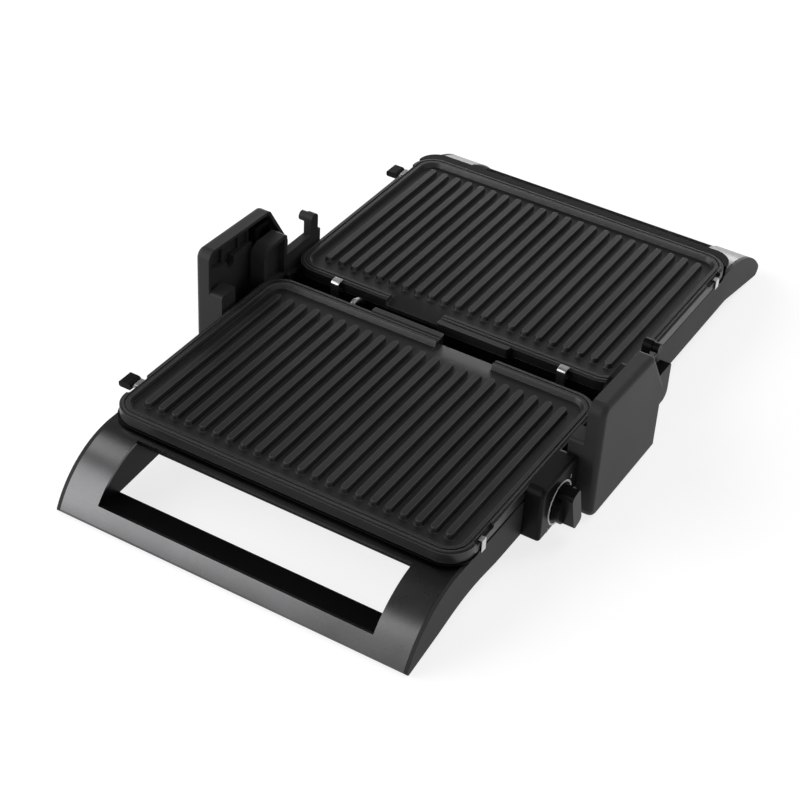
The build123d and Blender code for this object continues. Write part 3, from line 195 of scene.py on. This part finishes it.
def make_world():
    """White surround near the horizon under a darker studio ceiling."""
    world = bpy.data.worlds.new("studio")
    scene.world = world
    world.use_nodes = True
    tree = world.node_tree
    tree.nodes.clear()
    new = tree.nodes.new
    link = tree.links.new
    out = new("ShaderNodeOutputWorld")
    seen = new("ShaderNodeBackground")
    seen.inputs["Color"].default_value = grey(1)
    seen.inputs["Strength"].default_value = 1.0
    where = new("ShaderNodeTexCoord")
    split = new("ShaderNodeSeparateXYZ")
    link(where.outputs["Generated"], split.inputs[0])
    fade = new("ShaderNodeMapRange")
    fade.interpolation_type = "SMOOTHSTEP"
    fade.inputs["From Min"].default_value = SURROUND_FULL
    fade.inputs["From Max"].default_value = SURROUND_GONE
    fade.inputs["To Min"].default_value = SURROUND_LEVEL
    fade.inputs["To Max"].default_value = CEILING_LEVEL
    link(split.outputs["Z"], fade.inputs["Value"])
    light = new("ShaderNodeBackground")
    light.inputs["Color"].default_value = grey(1)
    link(fade.outputs["Result"], light.inputs["Strength"])
    path = new("ShaderNodeLightPath")
    mix = new("ShaderNodeMixShader")
    link(path.outputs["Is Camera Ray"], mix.inputs[0])
    link(light.outputs[0], mix.inputs[1])
    link(seen.outputs[0], mix.inputs[2])
    link(mix.outputs[0], out.inputs["Surface"])


def make_floor():
    """Plain pale floor that keeps a soft shadow."""
    mesh = bpy.data.meshes.new("floor")
    half = FLOOR_HALF
    corners = [(-half, -half, 0), (half, -half, 0), (half, half, 0), (-half, half, 0)]
    mesh.from_pydata(corners, [], [(0, 1, 2, 3)])
    floor = put("floor", mesh)
    material = bpy.data.materials.new("floor_paper")
    material.use_nodes = True
    tree = material.node_tree
    tree.nodes.clear()
    new = tree.nodes.new
    link = tree.links.new
    out = new("ShaderNodeOutputMaterial")
    paper = new("ShaderNodeBsdfDiffuse")
    paper.inputs["Color"].default_value = grey(FLOOR_SHADED)
    glow = new("ShaderNodeEmission")
    glow.inputs["Strength"].default_value = FLOOR_GLOW
    seen = new("ShaderNodeAddShader")
    link(paper.outputs[0], seen.inputs[0])
    link(glow.outputs[0], seen.inputs[1])
    plain = new("ShaderNodeBsdfDiffuse")
    plain.inputs["Color"].default_value = grey(FLOOR_PLAIN)
    mix = new("ShaderNodeMixShader")
    link(seen_directly(tree), mix.inputs[0])
    link(plain.outputs[0], mix.inputs[1])
    link(seen.outputs[0], mix.inputs[2])
    link(mix.outputs[0], out.inputs["Surface"])
    mesh.materials.append(material)


def add_painted_edge_highlights(tree, patches, noise, highlight_strength):
    """Mask that adds painted highlights along corners and edges to the rubbed wear patches."""
    new = tree.nodes.new
    link = tree.links.new
    soft = new("ShaderNodeBevel")
    soft.samples = PAINTED_HIGHLIGHT_SAMPLES
    soft.inputs["Radius"].default_value = PAINTED_HIGHLIGHT_REACH
    plain = new("ShaderNodeNewGeometry")
    same = new("ShaderNodeVectorMath")
    same.operation = "DOT_PRODUCT"
    link(soft.outputs["Normal"], same.inputs[0])
    link(plain.outputs["Normal"], same.inputs[1])
    # Painted highlight that grows where the rounded normal turns away from the face normal
    corner = new("ShaderNodeMapRange")
    corner.inputs["From Min"].default_value = PAINTED_HIGHLIGHT_START
    corner.inputs["From Max"].default_value = PAINTED_HIGHLIGHT_FULL
    corner.inputs["To Max"].default_value = highlight_strength
    link(same.outputs["Value"], corner.inputs["Value"])
    broken_highlight = new("ShaderNodeMath")
    broken_highlight.operation = "MULTIPLY"
    link(corner.outputs["Result"], broken_highlight.inputs[0])
    link(noise, broken_highlight.inputs[1])
    total = new("ShaderNodeMath")
    total.operation = "ADD"
    total.use_clamp = True
    link(broken_highlight.outputs[0], total.inputs[0])
    link(patches, total.inputs[1])
    return total.outputs[0]


def noise(tree, vector, scale, detail):
    """Noise of one size over the piece."""
    texture = tree.nodes.new("ShaderNodeTexNoise")
    texture.inputs["Scale"].default_value = scale
    texture.inputs["Detail"].default_value = detail
    tree.links.new(vector, texture.inputs["Vector"])
    return texture


def grained(
    name, colour, roughness, grain=0.35, grain_size=0.0006, depth=0.00004, variation=0.12,
    metallic=0.0, specular=0.5, wear=0.0, painted_edge_highlight=0.0, brushed=None,
):
    """Procedural surface: fine bump, slow colour and gloss variation, rubbed wear patches and
    painted edge highlights.
    """
    material = bpy.data.materials.new(name)
    material.use_nodes = True
    tree = material.node_tree
    tree.nodes.clear()
    new = tree.nodes.new
    link = tree.links.new
    out = new("ShaderNodeOutputMaterial")
    shader = new("ShaderNodeBsdfPrincipled")
    shader.inputs["Metallic"].default_value = metallic
    shader.inputs["Specular IOR Level"].default_value = specular
    link(shader.outputs[0], out.inputs["Surface"])

    # Noises
    where = new("ShaderNodeTexCoord").outputs["Object"]
    spread = new("ShaderNodeMapping")
    if brushed:
        spread.inputs["Scale"].default_value = brushed
    link(where, spread.inputs["Vector"])
    slow = noise(tree, where, SLOW_SCALE, SLOW_DETAIL)
    fine = noise(tree, spread.outputs["Vector"], 1.0 / grain_size, FINE_DETAIL)
    rubbed = noise(tree, where, RUBBED_SCALE, RUBBED_DETAIL)
    rubbed.inputs["Roughness"].default_value = RUBBED_ROUGHNESS

    # Colour with slow variation and a fine speck
    tone = new("ShaderNodeValToRGB")
    darker, lighter = tone.color_ramp.elements
    darker.position = TONE_LOW
    lighter.position = TONE_HIGH
    darker.color = [c * (1 - variation) for c in colour] + [1]
    lighter.color = [min(1.0, c * (1 + variation)) for c in colour] + [1]
    link(slow.outputs["Fac"], tone.inputs["Fac"])
    speck = new("ShaderNodeMix")
    speck.data_type = "RGBA"
    speck.blend_type = "OVERLAY"
    speck.inputs["Factor"].default_value = grain
    link(tone.outputs["Color"], speck.inputs["A"])
    link(fine.outputs["Fac"], speck.inputs["B"])

    # Rubbed wear patches, and painted highlights along the edges in the same pale colour
    patch = new("ShaderNodeMapRange")
    patch.inputs["From Min"].default_value = RUBBED_FROM
    patch.inputs["From Max"].default_value = RUBBED_TO
    patch.inputs["To Max"].default_value = wear
    link(rubbed.outputs["Fac"], patch.inputs["Value"])
    wear_and_highlight_mask = patch.outputs["Result"]
    if painted_edge_highlight:
        wear_and_highlight_mask = add_painted_edge_highlights(tree, wear_and_highlight_mask, rubbed.outputs["Fac"], painted_edge_highlight)
    wear_and_highlight_mix = new("ShaderNodeMix")
    wear_and_highlight_mix.data_type = "RGBA"
    # Pale colour for the wear patches and the painted edge highlights
    pale = [min(1.0, c * WEAR_AND_HIGHLIGHT_GAIN + WEAR_AND_HIGHLIGHT_LIFT) for c in colour]
    wear_and_highlight_mix.inputs["B"].default_value = pale + [1]
    link(wear_and_highlight_mask, wear_and_highlight_mix.inputs["Factor"])
    link(speck.outputs["Result"], wear_and_highlight_mix.inputs["A"])
    link(wear_and_highlight_mix.outputs["Result"], shader.inputs["Base Color"])

    # Gloss and bump
    gloss = new("ShaderNodeMapRange")
    gloss.inputs["To Min"].default_value = max(GLOSS_LEAST, roughness - GLOSS_SPREAD)
    gloss.inputs["To Max"].default_value = min(1.0, roughness + GLOSS_SPREAD)
    link(slow.outputs["Fac"], gloss.inputs["Value"])
    link(gloss.outputs["Result"], shader.inputs["Roughness"])
    bump = new("ShaderNodeBump")
    bump.inputs["Strength"].default_value = 1.0
    bump.inputs["Distance"].default_value = depth
    link(fine.outputs["Fac"], bump.inputs["Height"])
    link(bump.outputs["Normal"], shader.inputs["Normal"])
    return material


# Finishes: colour, roughness, and what differs from the usual surface
FINISHES = {
    # The coated casting has painted highlights along its edges as well as rubbed wear
    "coated_casting": ((0.0095, 0.0095, 0.0098), 0.36, {
        "depth": 0.00005, "grain_size": 0.0008, "specular": 0.4, "wear": 0.06, "painted_edge_highlight": 2.2,
    }),
    "grey_shell": ((0.095, 0.095, 0.097), 0.28, {
        "depth": 0.00001, "grain_size": 0.0004, "metallic": 1.0,
    }),
    "cheek_grey": ((0.025, 0.025, 0.026), 0.5, {
        "depth": 0.00002, "grain_size": 0.0004, "specular": 0.1,
    }),
    "black_moulding": ((0.003, 0.003, 0.003), 0.36, {"depth": 0.00002, "specular": 0.08}),
    "charcoal_cover": ((0.024, 0.024, 0.025), 0.5, {
        "depth": 0.00003, "grain_size": 0.0005, "specular": 0.15,
    }),
    "knob_black": ((0.003, 0.003, 0.003), 0.32, {"depth": 0.00001, "specular": 0.1}),
    "bright_steel": ((0.55, 0.55, 0.56), 0.3, {
        "depth": 0.00001, "metallic": 1.0, "brushed": (1, 12, 1),
    }),
    "grey_steel": ((0.30, 0.30, 0.31), 0.4, {"depth": 0.00001, "metallic": 1.0}),
    "element_sheath": ((0.12, 0.11, 0.10), 0.5, {"metallic": 0.8}),
    "reflector_sheet": ((0.6, 0.6, 0.61), 0.3, {"metallic": 1.0}),
    "black_rubber": ((0.012, 0.012, 0.012), 0.8, {}),
    "light_ring": ((0.62, 0.64, 0.66), 0.35, {}),
    "circuit_board": ((0.03, 0.16, 0.07), 0.4, {}),
    # Control box plastic made darker than the charcoal cover it really shares: painted shade
    "box_black_painted_shade": ((0.004, 0.004, 0.004), 0.36, {"depth": 0.00002, "specular": 0.1}),
    "conduit_steel": ((0.24, 0.24, 0.245), 0.4, {"depth": 0.00001, "metallic": 1.0}),
    "terminal_white": ((0.7, 0.7, 0.67), 0.5, {}),
}

# Pieces whose finish differs from their slot's usual one
OWN_FINISH = {
    # The control box is darkened as painted shade
    "control_box": "box_black_painted_shade",
    "lid_arm_right": "black_moulding",
    "lid_arm_left": "charcoal_cover",
    "wire_conduit": "conduit_steel",
}


def make_materials():
    """One procedural surface for each finish."""
    return {
        name: grained(name, colour, roughness, **more)
        for name, (colour, roughness, more) in FINISHES.items()
    }


def dress(materials):
    """Give every CAD node its finish, softened edges and smooth shading."""
    slots = {row["node"]: row["material_slot"] for row in frame["record"]["subparts"]}
    slots.update(OWN_FINISH)
    for name, thing in nodes.items():
        thing.data.materials.clear()
        thing.data.materials.append(materials[slots[name]])
        weld = thing.modifiers.new("weld", "WELD")
        weld.merge_threshold = WELD_GAP
        soft = thing.modifiers.new("soft_edges", "BEVEL")
        soft.width = EDGE_SOFTNESS
        soft.segments = EDGE_SEGMENTS
        soft.limit_method = "ANGLE"
        soft.angle_limit = radians(EDGE_ANGLE)
        soft.use_clamp_overlap = True
        normals = thing.modifiers.new("normals", "WEIGHTED_NORMAL")
        normals.keep_sharp = False


def new_piece(name, work):
    """Object made of the mesh that was worked on."""
    mesh = bpy.data.meshes.new(name)
    work.to_mesh(mesh)
    work.free()
    return put(name, mesh)


def finish(piece, body, material):
    """Let a new piece ride on its body with the finish of a slot."""
    piece.data.materials.append(material)
    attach(piece, body)


def coil(work, start, run, middle, radius):
    """Round wire that winds along X, closed at both ends."""
    count = SPRING_COILS * SPRING_STEPS
    rings = []
    for index in range(count + 1):
        turn = 2 * pi * index / SPRING_STEPS
        outward = Vector((0, cos(turn), sin(turn)))
        centre = Vector((start + run * index / count, middle.y, middle.z))
        centre += outward * radius
        ring = []
        for side in range(SPRING_SIDES):
            angle = 2 * pi * side / SPRING_SIDES
            offset = outward * cos(angle) + Vector((1, 0, 0)) * sin(angle)
            ring.append(work.verts.new(centre + offset * SPRING_WIRE / 2))
        rings.append(ring)
    for one, two in zip(rings, rings[1:]):
        for side in range(SPRING_SIDES):
            other = (side + 1) % SPRING_SIDES
            work.faces.new((one[side], one[other], two[other], two[side]))
    work.faces.new(rings[0][::-1])
    work.faces.new(rings[-1])
    bmesh.ops.recalc_face_normals(work, faces=work.faces[:])


def release_spring(node, body, materials):
    """Coil in place of the plain sleeve of a return spring, riding on the release body."""
    low, high = (Vector(corner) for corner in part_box(node))
    length = high.x - low.x
    radius = (high.z - low.z - SPRING_WIRE) / 2
    work = bmesh.new()
    coil(work, low.x + SPRING_WIRE / 2, length - SPRING_WIRE, (low + high) / 2, radius)
    piece = new_piece(node + "_coil", work)
    piece.data.shade_smooth()
    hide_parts(node)
    finish(piece, body, materials["bright_steel"])
    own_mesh(piece)


def scale_mark(name, across, up, strokes, materials):
    """Pale strokes that fill a groove of the control face."""
    low, high = (Vector(corner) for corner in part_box("control_knob"))
    middle = (low + high) / 2
    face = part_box("control_box")[1][0]
    length = (MARK_LENGTH - MARK_BREAK * (strokes - 1)) / strokes
    work = bmesh.new()
    for index in range(strokes):
        level = middle.z + up + (index - (strokes - 1) / 2) * (length + MARK_BREAK)
        place = Vector((face - MARK_SUNK, middle.y + across, level))
        size = Matrix.Diagonal((MARK_THICK, MARK_WIDTH, length, 1))
        bmesh.ops.create_cube(work, size=1.0, matrix=Matrix.Translation(place) @ size)
    bmesh.ops.bevel(
        work, geom=work.edges[:], offset=MARK_ROUND, segments=MARK_ROUND_SEGMENTS,
        affect="EDGES",
    )
    finish(new_piece(name, work), "base", materials["light_ring"])


make_world()
make_floor()
make_camera()
scene.view_settings.view_transform = "Standard"
for lamp in LAMPS:
    area_light(*lamp)
materials = make_materials()
dress(materials)
for half in ("lower", "upper"):
    release_spring(half + "_release_spring", half + "_release", materials)
scale_mark("scale_mark_high", MARK_ACROSS, MARK_UP, 1, materials)
scale_mark("scale_mark_low", -MARK_ACROSS, -MARK_DOWN, 2, materials)
